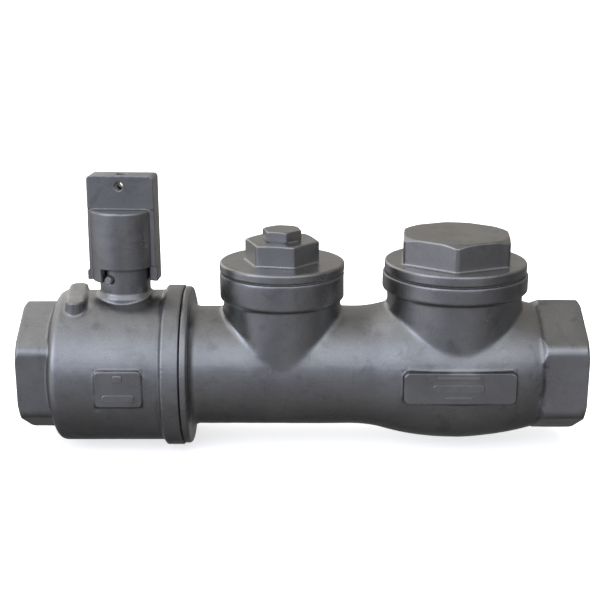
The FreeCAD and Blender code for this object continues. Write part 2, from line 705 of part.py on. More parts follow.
# ---------------------------------------------------------------- caps, gaskets, test plug
def cap(label, port, thread_gap, hollow_rad, roof, corner, bevel_drop):
    """Hexagon cap with a threaded, hollow skirt. thread_gap is the space left below the
    skirt's thread, roof the thickness over the hollow."""
    body = make_body(label, port.axis)
    top, flange_top, overlap = port.cap_top, port.flange_top, 1.0
    pull(body, "XY_Plane", hex_points(port.hex_flats, corner, port.hex_turn.value),
         top - flange_top + overlap, off=(0, 0, flange_top - overlap))
    # bevel on the hexagon's top corners
    bevel_rad, reach = port.hex_flats / 2 + 0.2, hex_reach(port.hex_flats, corner)
    turn_z(body, [
        (bevel_rad, top + 0.5), (bevel_rad, top), (reach, top - bevel_drop),
        (reach + 4, top - bevel_drop * 2), (reach + 4, top + 0.5),
    ], cut=True)
    # thread and flange
    thread_rad, thread_edge = port.thread_rad - THREAD_FIT, 1.0
    low, flange_low = port.thread_low + thread_gap, port.face + size.gasket_thick
    flange_rad, fillet = port.flange_rad, 1.4
    turn_z(body, [
        (0, low), (thread_rad - thread_edge, low), (thread_rad, low + thread_edge),
        (thread_rad, flange_low), (flange_rad - EDGE, flange_low),
        (flange_rad, flange_low + EDGE), (flange_rad, flange_top - fillet, fillet),
        (flange_rad - fillet, flange_top), (0, flange_top),
    ])
    # hollow, rounded at its top
    hollow_top, hollow_fillet = top - roof, 3.0
    turn_z(body, [
        (0, low - OVERCUT), (hollow_rad, low - OVERCUT),
        (hollow_rad, hollow_top - hollow_fillet, hollow_fillet),
        (hollow_rad - hollow_fillet, hollow_top), (0, hollow_top),
    ], cut=True)
    return body


def gasket(label, port, inset):
    ring(label, port.thread_rad + THREAD_FIT, port.collar_rad - inset,
         port.face, port.face + size.gasket_thick, port.axis)


def cleanout_cap():
    body = cap("cleanout_cap", clean, thread_gap=2.0, hollow_rad=16.0, roof=9.0,
               corner=2.0, bevel_drop=0.4)
    # test plug hole
    turn_z(body, rectangle(0, 60, size.plug_thread_rad, clean.cap_top + OVERCUT), cut=True)


def test_plug():
    under = clean.cap_top + size.plug_washer_thick
    ring("test_plug_washer", size.plug_thread_rad + THREAD_FIT, 11.2, clean.cap_top, under,
         clean.axis)
    body = make_body("test_plug", clean.axis)
    flats, top = size.plug_flats, size.plug_top
    pull(body, "XY_Plane", hex_points(flats, 0.8, size.plug_turn.value), top - under,
         off=(0, 0, under))
    # bevel on the hexagon's top corners
    bevel_rad, reach = flats / 2 + 0.1, flats / SQRT3
    turn_z(body, [
        (bevel_rad, top + 0.5), (bevel_rad, top), (reach, top - 0.7),
        (reach + 3, top - 1.8), (reach + 3, top + 0.5),
    ], cut=True)
    # thread
    thread_rad, low, thread_edge, overlap = size.plug_thread_rad - THREAD_FIT, 67, 1.0, 0.5
    turn_z(body, [
        (0, low), (thread_rad - thread_edge, low), (thread_rad, low + thread_edge),
        (thread_rad, under + overlap), (0, under + overlap),
    ])


# ---------------------------------------------------------------- swing check
# Local frame of the arm, disc and hardware: origin at the centre of the seat face, local X
# into the chamber along the disc axis, local Z up the seat.
TILT = math.radians(size.seat_tilt.value)
HINGE_DX = size.hinge_x.value - size.seat_x.value
# the hinge pin's place in the local frame
PIN_LOCAL_X = HINGE_DX * -math.cos(TILT) + size.hinge_z.value * math.sin(TILT)
PIN_LOCAL_Z = HINGE_DX * math.sin(TILT) + size.hinge_z.value * math.cos(TILT)

DISC_GAP = 0.06                            # from the seat to the disc
COTTER_X = size.disc_thick + 15.2          # cotter pin through the stud
WASHER_LOW = size.disc_thick + size.arm_thick + 0.15
WASHER_HIGH = WASHER_LOW + 1.2


def seat_body(label):
    """Body placed in the seat's local frame."""
    tilted = Rotation(Vector(0, 1, 0), 180.0 + size.seat_tilt.value)
    flipped = Rotation(Vector(1, 0, 0), 180.0)
    return make_body(label, size.seat_x, rotation=tilted.multiply(flipped))


def clapper_disc():
    """Disc with a ring groove in its seat face and a stud on its back."""
    body = seat_body("clapper_disc")
    disc_rad, thick, stud_rad = size.disc_rad, size.disc_thick, size.stud_rad
    groove_in, groove_out, groove_x = 24.6, 27.6, 2.4
    turn_x(body, [
        (DISC_GAP, 0), (DISC_GAP, groove_in), (groove_x, groove_in), (groove_x, groove_out),
        (DISC_GAP, groove_out), (DISC_GAP, disc_rad - 0.5), (DISC_GAP + 0.5, disc_rad),
        (thick - 1.2, disc_rad), (thick, disc_rad - 1.5), (thick + DISC_GAP, 10.0),
        (thick + DISC_GAP, stud_rad), (thick + 16.5, stud_rad),
        (thick + 17.3, stud_rad - 0.8), (thick + 17.3, 0),
    ])
    pull_round(body, "XY_Plane", (COTTER_X, 0), [1.05], 12.0, off=(0, 0, -6.0), cut=True)


def disc_seal_ring():
    turn_x(seat_body("disc_seal_ring"), rectangle(0.01, 24.65, 2.38, 27.55))


def clapper_arm():
    body = seat_body("clapper_arm")
    low = size.disc_thick + 0.1
    high = low + size.arm_thick
    # plate, round below the disc axis and wider at the hinge
    half, flare, plate_top = size.arm_width / 2, 2.5, PIN_LOCAL_Z - 3
    pull(body, "YZ_Plane", [
        (-half, 0, 8.6), (half, 0), (half + flare, plate_top), (-half - flare, plate_top),
    ], size.arm_thick, off=(0, 0, low))
    # boss round the stud
    boss_rad, boss_edge = 11.0, 0.8
    turn_x(body, [(low, 0), (high, 0), (high, boss_rad - boss_edge),
                  (high - boss_edge, boss_rad), (low, boss_rad)])
    # hinge hub and its bore, then the stud hole
    pin_centre = (PIN_LOCAL_X, PIN_LOCAL_Z)
    pull_round(body, "XZ_Plane", pin_centre, [size.hub_rad], 26.0, off=(0, 0, -13.0))
    pull_round(body, "XZ_Plane", pin_centre, [size.hinge_pin_rad + size.hinge_gap], 30.0,
               off=(0, 0, -15.0), cut=True)
    turn_x(body, rectangle(0, 0, 20, size.stud_rad + 0.05), cut=True)


def disc_washer():
    turn_x(seat_body("disc_washer"), rectangle(WASHER_LOW, size.stud_rad, WASHER_HIGH, 8.0))


def disc_nut():
    body = seat_body("disc_nut")
    sk = new_sketch(body, "YZ_Plane", off=(0, 0, WASHER_HIGH))
    outline(sk, hex_points(13.0, 0.4, 90))
    circle(sk, 0, 0, size.stud_rad)
    extrude(body, sk, 5.6)
    # bevel on the corners of the outer face
    turn_x(body, [
        (WASHER_LOW + 6.9, 6.3), (WASHER_LOW + 6.3, 7.6), (WASHER_LOW + 6.3, 9),
        (WASHER_LOW + 7.2, 9), (WASHER_LOW + 7.2, 6.3),
    ], cut=True)


def disc_cotter_pin():
    """Straight pin through the stud, with an eye at its upper end."""
    body = seat_body("disc_cotter_pin")
    pull_round(body, "XY_Plane", (COTTER_X, 0), [1.0], 13.0, off=(0, 0, -7.5))
    pull_round(body, "XZ_Plane", (0, 0), [2.2, 1.1], 1.8, off=(COTTER_X, 6.9, 0),
               midplane=True)


# ---------------------------------------------------------------- hinge pin and its plug
HINGE_WASHER_THICK = 1.0


def hinge_body(label):
    return make_body(label, size.hinge_x, size.hinge_z)


def hinge_pin():
    pin_rad, front, rear, chamfer = size.hinge_pin_rad, size.hinge_front, size.hinge_rear, 0.4
    turn_y(hinge_body("hinge_pin"), [
        (0, front), (pin_rad - chamfer, front), (pin_rad, front + chamfer),
        (pin_rad, rear - chamfer), (pin_rad - chamfer, rear), (0, rear),
    ])


def hinge_plug_washer():
    face = size.hinge_boss_face
    turn_y(hinge_body("hinge_plug_washer"),
           rectangle(size.hinge_plug_rad + 0.05, face, 9.2, face + HINGE_WASHER_THICK))


def hinge_pin_plug():
    body = hinge_body("hinge_pin_plug")
    face, plug_rad = size.hinge_boss_face, size.hinge_plug_rad
    pull(body, "XZ_Plane", hex_points(14.0, 0.5, 30), 5.0,
         off=(0, 0, -face - HINGE_WASHER_THICK), backward=True)
    # bevel on the hexagon's rear corners
    turn_y(body, [
        (7.0, face + 6.5), (7.0, face + 6.0), (8.2, face + 5.3), (10, face + 4.2),
        (10, face + 6.5),
    ], cut=True)
    # thread
    front = size.hinge_rear + 0.2
    turn_y(body, [
        (0, front), (plug_rad - 0.8, front), (plug_rad, front + 0.8),
        (plug_rad, face + 1.5), (0, face + 1.5),
    ])


# ---------------------------------------------------------------- build
ball_valve_body()
check_valve_body()
ball()
ball_seats()
body_joint_seal()
stem()
ring("stem_thrust_washer", 8.06, 11.3, 40.0, size.washer_seat, size.stem_axis)
stem_o_rings()
operating_head()
head_screw()
stop_pin()
cleanout_cap()
gasket("cleanout_gasket", clean, inset=0.4)
cap("check_cap", check, thread_gap=0.5, hollow_rad=29.0, roof=8.0, corner=3.3, bevel_drop=2.0)
gasket("check_gasket", check, inset=1.4)
test_plug()
clapper_disc()
disc_seal_ring()
clapper_arm()
disc_washer()
disc_nut()
disc_cotter_pin()
hinge_pin()
hinge_plug_washer()
hinge_pin_plug()

# ---------------------------------------------------------------- test and write
doc.recompute()
for item in doc.Objects:
    if any(word in item.State for word in ("Invalid", "Error")):
        raise RuntimeError("%s %s: %s" % (item.Name, item.Label, item.State))
os.makedirs("parts", exist_ok=True)
for item in doc.Objects:
    if item.TypeId != "PartDesign::Body":
        continue
    shape = item.Shape
    if shape.isNull() or not shape.isValid() or shape.Volume <= 0:
        raise RuntimeError("bad shape: " + item.Label)
    shape.exportStep("parts/%s.step" % item.Label)
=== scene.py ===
# A ball valve and a check valve joined in one cast stainless housing.
# The pipe axis is X (y = z = 0), with the outlet mouth at x = 0 and the inlet at the far +X end.
# The stem and the caps stand up along +Z, and the cast pads and the camera are on the -Y side.
# Shapes are worked out in millimetres and stored in metres.
import bpy
import bmesh
import math
import numpy as np
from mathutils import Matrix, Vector

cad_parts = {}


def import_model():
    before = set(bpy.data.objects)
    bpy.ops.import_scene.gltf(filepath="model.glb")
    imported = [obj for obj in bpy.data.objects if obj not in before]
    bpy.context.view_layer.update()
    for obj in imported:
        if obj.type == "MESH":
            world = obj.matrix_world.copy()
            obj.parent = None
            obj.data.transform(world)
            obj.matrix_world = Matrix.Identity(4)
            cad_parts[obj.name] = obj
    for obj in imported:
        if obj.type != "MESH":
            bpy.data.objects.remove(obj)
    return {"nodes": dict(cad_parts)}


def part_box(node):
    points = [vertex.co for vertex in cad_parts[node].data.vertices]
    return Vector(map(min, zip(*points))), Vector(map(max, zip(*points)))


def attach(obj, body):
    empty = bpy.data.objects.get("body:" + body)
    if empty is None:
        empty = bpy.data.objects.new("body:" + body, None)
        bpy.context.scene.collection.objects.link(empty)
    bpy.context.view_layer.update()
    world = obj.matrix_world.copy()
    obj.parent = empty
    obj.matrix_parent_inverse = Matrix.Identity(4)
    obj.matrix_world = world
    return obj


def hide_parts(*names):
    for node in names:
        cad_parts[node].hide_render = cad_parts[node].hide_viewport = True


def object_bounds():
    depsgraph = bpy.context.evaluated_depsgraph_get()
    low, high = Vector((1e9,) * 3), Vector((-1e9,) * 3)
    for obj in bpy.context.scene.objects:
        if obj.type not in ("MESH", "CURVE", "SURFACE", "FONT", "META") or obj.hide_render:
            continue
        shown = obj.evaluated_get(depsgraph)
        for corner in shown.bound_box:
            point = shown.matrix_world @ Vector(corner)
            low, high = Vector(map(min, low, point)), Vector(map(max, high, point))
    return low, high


MM = 0.001

cad_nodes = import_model()["nodes"]
cad_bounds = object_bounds()


# ---------------------------------------------------------------- places taken from the CAD, mm
def middle_x(node):
    low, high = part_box(node)
    return (low.x + high.x) / 2 / MM


def top_z(node):
    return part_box(node)[1].z / MM


STEM_X = middle_x("stem")
CLEANOUT_X = middle_x("test_plug")
CHECK_X = middle_x("check_cap")
END_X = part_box("check_valve_body")[1].x / MM


# ---------------------------------------------------------------- shader node helpers
class NodeTree:
    """Adds nodes to one cleared tree; noise, ramp, remap, mix and math return an output."""

    def __init__(self, owner):
        owner.use_nodes = True
        self.tree = owner.node_tree
        self.tree.nodes.clear()

    def node(self, kind):
        return self.tree.nodes.new("ShaderNode" + kind)

    def feed(self, socket, value):
        """Links an output to the socket, or sets a plain value on it."""
        if isinstance(value, bpy.types.NodeSocket):
            self.tree.links.new(value, socket)
        else:
            socket.default_value = value

    def noise(self, vector, scale, detail=4.0, rough=0.55, distort=0.0):
        node = self.node("TexNoise")
        node.inputs["Scale"].default_value = scale
        node.inputs["Detail"].default_value = detail
        node.inputs["Roughness"].default_value = rough
        node.inputs["Distortion"].default_value = distort
        self.feed(node.inputs["Vector"], vector)
        return node.outputs["Fac"]

    def ramp(self, factor, stops):
        """stops: (position, RGBA), in rising order."""
        node = self.node("ValToRGB")
        elements = node.color_ramp.elements
        while len(elements) > 1:
            elements.remove(elements[-1])
        elements[0].position, elements[0].color = stops[0]
        for position, color in stops[1:]:
            elements.new(position).color = color
        self.feed(node.inputs["Fac"], factor)
        return node.outputs["Color"]

    def remap(self, value, target, source=(0.3, 0.7)):
        """Maps source to target; the default source is the usual spread of a noise."""
        node = self.node("MapRange")
        for side, span in (("From", source), ("To", target)):
            node.inputs[side + " Min"].default_value = span[0]
            node.inputs[side + " Max"].default_value = span[1]
        self.feed(node.inputs["Value"], value)
        return node.outputs["Result"]

    def mix(self, blend, factor, first, second):
        node = self.node("Mix")
        node.data_type = "RGBA"
        node.blend_type = blend
        self.feed(node.inputs["Factor"], factor)
        # sockets 6 and 7 are the colour inputs, output 2 is the colour result
        self.feed(node.inputs[6], first)
        self.feed(node.inputs[7], second)
        return node.outputs[2]

    def math(self, operation, *values):
        node = self.node("Math")
        node.operation = operation
        for socket, value in zip(node.inputs, values):
            self.feed(socket, value)
        return node.outputs[0]

    def object_coords(self):
        return self.node("TexCoord").outputs["Object"]

    def bump(self, bsdf, height, strength, distance):
        node = self.node("Bump")
        node.inputs["Strength"].default_value = strength
        node.inputs["Distance"].default_value = distance
        self.feed(node.inputs["Height"], height)
        self.feed(bsdf.inputs["Normal"], node.outputs["Normal"])


def new_material(name):
    material = bpy.data.materials.new(name)
    tree = NodeTree(material)
    output = tree.node("OutputMaterial")
    bsdf = tree.node("BsdfPrincipled")
    tree.feed(output.inputs["Surface"], bsdf.outputs["BSDF"])
    return material, tree, bsdf


def grey(value, warm=0.0):
    return (value * (1 + warm), value, value * (1 - warm * 1.3), 1.0)


def set_material(obj, material):
    obj.data.materials.clear()
    obj.data.materials.append(material)


# ---------------------------------------------------------------- materials
def cast_steel(name, light, dark, rough=(0.26, 0.38), grain=0.22, warm=0.012):
    """Bead-blasted casting: matt grain, cloudy tone, faint blotches and flecks."""
    material, tree, bsdf = new_material(name)
    coords = tree.object_coords()
    cloud = tree.noise(coords, scale=26.0, detail=5.0, rough=0.6, distort=0.4)
    blotch = tree.noise(coords, scale=95.0, rough=0.65, distort=0.6)
    speck = tree.noise(coords, scale=1500.0, detail=3.0, rough=0.6)
    middle = grey((light + dark) / 2, warm * 0.6)
    base = tree.ramp(cloud, [(0.30, grey(dark, warm)), (0.52, middle), (0.74, grey(light, warm))])
    stain = tree.ramp(blotch, [(0.28, (0.74, 0.72, 0.70, 1)), (0.45, grey(1.0)),
                               (0.70, grey(1.0)), (0.82, (1.10, 1.10, 1.11, 1))])
    base = tree.mix("MULTIPLY", 0.75, base, stain)
    fleck = tree.ramp(speck, [(0.30, grey(0.72)), (0.5, grey(1.0)), (0.72, grey(1.16))])
    base = tree.mix("MULTIPLY", 0.45, base, fleck)
    # rubbed edges are a little lighter
    edge = tree.node("NewGeometry").outputs["Pointiness"]
    rubbed = tree.ramp(edge, [(0.505, grey(1.0)), (0.57, grey(1.12))])
    base = tree.mix("MULTIPLY", 0.8, base, rubbed)
    # painted shade: near-black colour in creases, seams, gaps and recesses, where the mesh carries
    # the attribute
    painted_shade = tree.node("Attribute")
    painted_shade.attribute_name = "painted_shade"
    patchy = tree.remap(tree.noise(coords, scale=160.0, detail=3.0), target=(0.65, 1.0))
    amount = tree.math("MULTIPLY", painted_shade.outputs["Fac"], patchy)
    # near-black painted shade mixed into the base colour by the attribute's weight
    base = tree.mix("MIX", amount, base, (0.045, 0.044, 0.045, 1))
    tree.feed(bsdf.inputs["Base Color"], base)
    bsdf.inputs["Metallic"].default_value = 0.98
    roughness = tree.remap(tree.noise(coords, scale=60.0, rough=0.6), target=rough)
    tree.feed(bsdf.inputs["Roughness"], roughness)
    # blasted grain
    fine = tree.noise(coords, scale=1150.0, rough=0.6)
    coarse = tree.noise(coords, scale=330.0, detail=3.0, rough=0.5)
    height = tree.math("ADD", tree.math("MULTIPLY", fine, 0.6), tree.math("MULTIPLY", coarse, 0.5))
    tree.bump(bsdf, height, strength=grain, distance=0.00035)
    return material


def turned_steel(name, tone, axis, centre=(0, 0, 0), rough=0.30, rings=900.0, strength=0.10):
    """Turned stainless: fine concentric tool lines round one axis."""
    material, tree, bsdf = new_material(name)
    coords = tree.object_coords()
    shift = tree.node("VectorMath")
    shift.operation = "SUBTRACT"
    shift.inputs[1].default_value = centre
    tree.feed(shift.inputs[0], coords)
    parts = tree.node("SeparateXYZ")
    tree.feed(parts.inputs[0], shift.outputs[0])
    squares = [tree.math("MULTIPLY", parts.outputs[across], parts.outputs[across])
               for across in "XYZ" if across != axis]
    radius = tree.math("SQRT", tree.math("ADD", *squares))
    turned = tree.node("CombineXYZ")
    tree.feed(turned.inputs[0], radius)
    tree.feed(turned.inputs[1], parts.outputs[axis])
    lines = tree.noise(turned.outputs[0], scale=rings, detail=3.0, rough=0.6)
    smear = tree.noise(coords, scale=70.0, rough=0.6)
    base = tree.ramp(smear, [(0.3, grey(tone * 0.82)), (0.7, grey(tone))])
    streaks = tree.ramp(lines, [(0.35, grey(0.8)), (0.65, grey(1.1))])
    tree.feed(bsdf.inputs["Base Color"], tree.mix("MULTIPLY", 0.25, base, streaks))
    bsdf.inputs["Metallic"].default_value = 1.0
    tree.feed(bsdf.inputs["Roughness"], tree.remap(smear, target=(rough * 0.85, rough * 1.25)))
    tree.bump(bsdf, lines, strength=strength, distance=0.0001)
    return material


def soft_material(name, color, rough, scale, strength):
    """Plastic, rubber or sheet: a slight mottle and a fine bump."""
    material, tree, bsdf = new_material(name)
    coords = tree.object_coords()
    mottle = tree.noise(coords, scale=scale, rough=0.6)
    dark, light = (tuple(c * gain for c in color) + (1,) for gain in (0.86, 1.06))
    tree.feed(bsdf.inputs["Base Color"], tree.ramp(mottle, [(0.35, dark), (0.65, light)]))
    tree.feed(bsdf.inputs["Roughness"], tree.remap(mottle, target=(rough * 0.9, rough * 1.1)))
    height = tree.noise(coords, scale=scale * 12, detail=3.0)
    tree.bump(bsdf, height, strength=strength, distance=0.0002)
    return material


def floor_paper():
    material, tree, bsdf = new_material("floor_paper")
    mottle = tree.noise(tree.object_coords(), scale=30.0, detail=3.0)
    color = tree.ramp(mottle, [(0.3, grey(0.90)), (0.7, grey(0.92))])
    tree.feed(bsdf.inputs["Base Color"], color)
    bsdf.inputs["Roughness"].default_value = 0.95
    bsdf.inputs["Emission Color"].default_value = grey(1.0)
    bsdf.inputs["Emission Strength"].default_value = 0.66
    return material


STEM_AXIS = (STEM_X * MM, 0, 0)
CAST = cast_steel("cast_stainless", light=0.37, dark=0.27)
HEAD = cast_steel("cast_stainless_head", light=0.36, dark=0.26, rough=(0.25, 0.37))
CAP = cast_steel("cast_stainless_cap", light=0.40, dark=0.30, rough=(0.25, 0.37),
                 grain=0.16, warm=0.02)
INNER = cast_steel("cast_stainless_internal", light=0.36, dark=0.26)
BALL = turned_steel("ball_stainless", tone=0.62, axis="X", centre=STEM_AXIS, rough=0.14,
                    rings=500.0, strength=0.03)
MACHINED = turned_steel("machined_stainless", tone=0.50, axis="Z", centre=STEM_AXIS, rough=0.28)
STOP_PIN = cast_steel("stop_pin_stainless", light=0.38, dark=0.30, rough=(0.30, 0.42), grain=0.08)
FIBRE = soft_material("fibre_washer", (0.20, 0.195, 0.19), rough=0.6, scale=120.0, strength=0.15)
PTFE = soft_material("ptfe", (0.80, 0.80, 0.77), rough=0.45, scale=60.0, strength=0.06)
RUBBER = soft_material("seal_rubber", (0.025, 0.025, 0.027), rough=0.65, scale=90.0, strength=0.15)
GASKET = soft_material("gasket_sheet", (0.055, 0.055, 0.058), rough=0.7, scale=120.0, strength=0.2)
THREAD = turned_steel("cut_thread", tone=0.45, axis="X")


# ---------------------------------------------------------------- mesh helpers
def add_object(name, data):
    obj = bpy.data.objects.new(name, data)
    bpy.context.scene.collection.objects.link(obj)
    return obj


def finish_mesh(name, bm):
    mesh = bpy.data.meshes.new(name)
    bm.to_mesh(mesh)
    bm.free()
    return mesh


def welded(node):
    """A copy of a CAD mesh with its split vertices joined."""
    mesh = cad_nodes[node].data.copy()
    bm = bmesh.new()
    bm.from_mesh(mesh)
    bmesh.ops.remove_doubles(bm, verts=bm.verts, dist=2e-6)
    bmesh.ops.recalc_face_normals(bm, faces=bm.faces)
    bm.to_mesh(mesh)
    bm.free()
    return mesh


def bake_modifier(obj, kind, **values):
    """Replaces the object's mesh with the result of one modifier."""
    modifier = obj.modifiers.new("step", kind)
    for key, value in values.items():
        setattr(modifier, key, value)
    graph = bpy.context.evaluated_depsgraph_get()
    graph.update()
    baked = bpy.data.meshes.new_from_object(obj.evaluated_get(graph), depsgraph=graph)
    obj.modifiers.clear()
    old = obj.data
    obj.data = baked
    bpy.data.meshes.remove(old)


def vertex_vectors(mesh, key):
    values = np.empty(len(mesh.vertices) * 3, np.float32)
    mesh.vertices.foreach_get(key, values)
    return values.reshape(-1, 3).astype(np.float64)


def read_points(mesh):
    return vertex_vectors(mesh, "co") / MM


def write_points(mesh, points):
    mesh.vertices.foreach_set("co", (points * MM).astype(np.float32).ravel())
    mesh.update()


def edge_pairs(mesh):
    pairs = np.empty(len(mesh.edges) * 2, np.int32)
    mesh.edges.foreach_get("vertices", pairs)
    return pairs.reshape(-1, 2)


def relax(points, edges, weight, rounds, *steps):
    """Moves points toward their neighbours' mean; a negative second step limits shrinking."""
    a, b = edges[:, 0], edges[:, 1]
    count = len(points)
    valence = np.bincount(a, minlength=count) + np.bincount(b, minlength=count)
    valence = np.maximum(valence, 1)[:, None]
    for _ in range(rounds):
        for step in steps:
            total = np.stack([np.bincount(a, points[b, i], count)
                              + np.bincount(b, points[a, i], count) for i in range(3)], 1)
            points = points + step * weight[:, None] * (total / valence - points)
    return points


def falloff(distance, reach):
    """1 at no distance, easing to 0 at the reach."""
    t = np.clip(1 - distance / reach, 0, 1)
    return t * t * (3 - 2 * t)


def strongest(*weights):
    return np.maximum.reduce(weights)


def uneven(points, seed, wavelength, amount, waves=14):
    """Slow unevenness of a casting's skin, as a height in mm."""
    rng = np.random.default_rng(seed)
    height = np.zeros(len(points))
    for _ in range(waves):
        wave = rng.normal(size=3)
        wave *= 2 * math.pi / (wavelength * rng.uniform(0.6, 1.8)) / np.linalg.norm(wave)
        height += np.sin(points @ wave + rng.uniform(0, 2 * math.pi))
    return height * amount / math.sqrt(waves / 2)


# ---------------------------------------------------------------- cast skins
PRESERVING = (0.5, -0.52)  # relax steps that smooth without shrinking


def cast_skin(node, name, voxel, material, body, blend_at, keep_at, max_tris=185000, polish=3,
              blend_rounds=12, wave=0.05, pits=(), seed=1, painted_shade_at=None):
    """Remeshes a CAD node and gives it the soft corners and uneven skin of a casting.

    blend_at weights the softened corners, keep_at marks points left even, and the shade mask
    weights the painted shade in creases, seams and recesses; each takes points in mm. pits holds
    x, y, z, radius, depth.
    """
    obj = add_object(name, welded(node))
    bake_modifier(obj, "REMESH", mode="VOXEL", voxel_size=voxel * MM, adaptivity=0.0)
    mesh = obj.data
    points = read_points(mesh)
    edges = edge_pairs(mesh)
    points = relax(points, edges, np.ones(len(points)), polish, *PRESERVING)
    weight = blend_at(points)
    points = relax(points, edges, weight, blend_rounds, 0.6)
    points = relax(points, edges, np.clip(weight * 1.5 + 0.15, 0, 1), 6, *PRESERVING)
    write_points(mesh, points)

    height = uneven(points, seed, 26.0, wave) + uneven(points, seed + 7, 7.0, wave * 0.35)
    for *centre, radius, depth in pits:
        distance = np.linalg.norm(points - np.array(centre), axis=1)
        height = height - depth * np.exp(-((distance / radius) ** 2))
    height = height * ~keep_at(points)
    write_points(mesh, points + vertex_vectors(mesh, "normal") * height[:, None])

    tris = 2 * len(mesh.polygons)
    if tris > max_tris:
        bake_modifier(obj, "DECIMATE", ratio=max_tris / tris)
    mesh = obj.data
    mesh.polygons.foreach_set("use_smooth", np.ones(len(mesh.polygons), bool))
    mesh.update()
    # store the painted shade weights, darkening creases, seams and recesses, as a point attribute
    if painted_shade_at is not None:
        shade_layer = mesh.attributes.new("painted_shade", "FLOAT", "POINT")
        values = np.clip(painted_shade_at(read_points(mesh)), 0, 1)
        shade_layer.data.foreach_set("value", values.astype(np.float32))
    set_material(obj, material)
    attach(obj, body)
    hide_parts(node)


# pad outlines on the -Y side: x start, x end, half height in z
VALVE_PAD = (47.0, 74.0, 11.0)
CHECK_PAD = (224.2, 289.0, 9.5)
JOINT_X = 95.3  # seam between the two bodies


def outside_pad(x, z, pad):
    start, end, half_height = pad
    return np.maximum(np.maximum(start - x, x - end), np.abs(z) - half_height)


def pad_corner(points, pad, foot_y):
    """Weight along the corner where a pad meets the body."""
    x, y, z = points.T
    across = np.maximum(np.abs(outside_pad(x, z, pad)) - 0.3, 0)
    return falloff(np.hypot(across, (y - foot_y) * 0.8), 1.6) * (y < -30)


# painted shade along the crease round a pad's edge
def pad_painted_shade(points, pad):
    x, y, z = points.T
    return 0.75 * falloff(np.abs(outside_pad(x, z, pad) - 0.2), 1.0) * (y < -30)


def from_axes(points, *centres):
    """Distance from the pipe axis, then from the upright axis at each x."""
    x, y, z = points.T
    return [np.hypot(y, z)] + [np.hypot(x - centre, y) for centre in centres]


def valve_blend(points):
    x, y, z = points.T
    pipe_r, stem_r = from_axes(points, STEM_X)
    # round-ended outline on the top, turned a little about Z
    skew = math.radians(6.8)
    dx, dy = x - 31.6, y + 2.0
    across = dx * math.cos(skew) + dy * math.sin(skew)
    along = -dx * math.sin(skew) + dy * math.cos(skew)
    outline = np.hypot(np.maximum(np.abs(along) - 19.2, 0), across) - 5.6
    below = np.maximum(44.5 - pipe_r, 0)
    return strongest(
        0.9 * falloff(np.hypot(stem_r - 16.0, z - 45.8), 3.4) * (z > 38),  # neck foot
        0.35 * falloff(np.hypot(x - 18.6, pipe_r - 37.0), 2.4),  # corner by the outlet
        0.35 * falloff(np.hypot(outline, below), 1.8) * (z > 20) * (pipe_r > 36),
        0.30 * falloff(np.hypot(x - 83.3, pipe_r - 45.6), 1.6),  # corner by the joint
        0.30 * pad_corner(points, VALVE_PAD, foot_y=-44.8))


def valve_keep(points):
    x, _, z = points.T
    pipe_r, stem_r = from_axes(points, STEM_X)
    inside = (pipe_r < 39.6) & (z < 42)
    neck_bore = (stem_r < 12.5) & (z > 30)
    end_faces = (x > 94.2) | (x < 0.8) | (z > 66)
    return inside | neck_bore | end_faces


# painted shade: darker in the creases by the outlet shoulder and the joint corner, round the pad,
# along the joint seam, and on the neck top under the head
def valve_painted_shade(points):
    x, _, z = points.T
    pipe_r, stem_r = from_axes(points, STEM_X)
    return strongest(
        pad_painted_shade(points, VALVE_PAD),
        0.8 * falloff(np.hypot(x - 19.0, pipe_r - 37.8), 1.9),
        0.8 * falloff(np.abs(x - JOINT_X), 0.7) * (pipe_r > 44),
        0.95 * falloff(np.abs(z - 62.9), 2.4) * (stem_r < 15.6),  # neck top, painted shadow under the head's skirt
        0.45 * falloff(np.hypot(x - 82.9, pipe_r - 45.5), 1.2))


# outer radius of the check chamber along the pipe: x, radius
BELLY = np.array([
    (190, 35.8), (196, 35.8), (202, 36.1), (208, 36.9), (214, 38.1), (221, 39.9),
    (228, 41.3), (235, 42.5), (246, 43.6), (259, 44.1), (268, 43.9), (276, 43.3),
    (283, 42.4), (290, 41.3), (298, 39.4), (306, 37.0)]).T


def check_blend(points):
    x, y, z = points.T
    pipe_r, cleanout_r, check_r = from_axes(points, CLEANOUT_X, CHECK_X)
    belly = pipe_r - np.interp(x, *BELLY)
    side_ring = np.hypot(x - 280.0, z - 36.0) - 10.8  # round outline on the +Y side
    return strongest(
        (z > 0) * falloff(np.hypot(pipe_r - 35.8, cleanout_r - 35.0), 7.0),  # port foot
        (z > 0) * falloff(np.hypot(belly, check_r - 40.1), 7.0),  # port foot
        0.10 * falloff(np.hypot(x - (END_X - 25.5), pipe_r - 37.0), 1.6),
        0.8 * falloff(np.hypot(side_ring, (y - 31.5) * 0.5), 5.0) * (y > 25),
        0.16 * pad_corner(points, CHECK_PAD, foot_y=-43.0))


def check_keep(points):
    x, _, z = points.T
    pipe_r, cleanout_r, check_r = from_axes(points, CLEANOUT_X, CHECK_X)
    inside = (pipe_r < 34.0) & (z < 40)
    ports = (z > 57.5) | ((cleanout_r < 31) & (z > 30)) | ((check_r < 37.5) & (z > 10))
    end_faces = (x < 96.5) | (x > END_X - 1.0)
    return inside | ports | end_faces


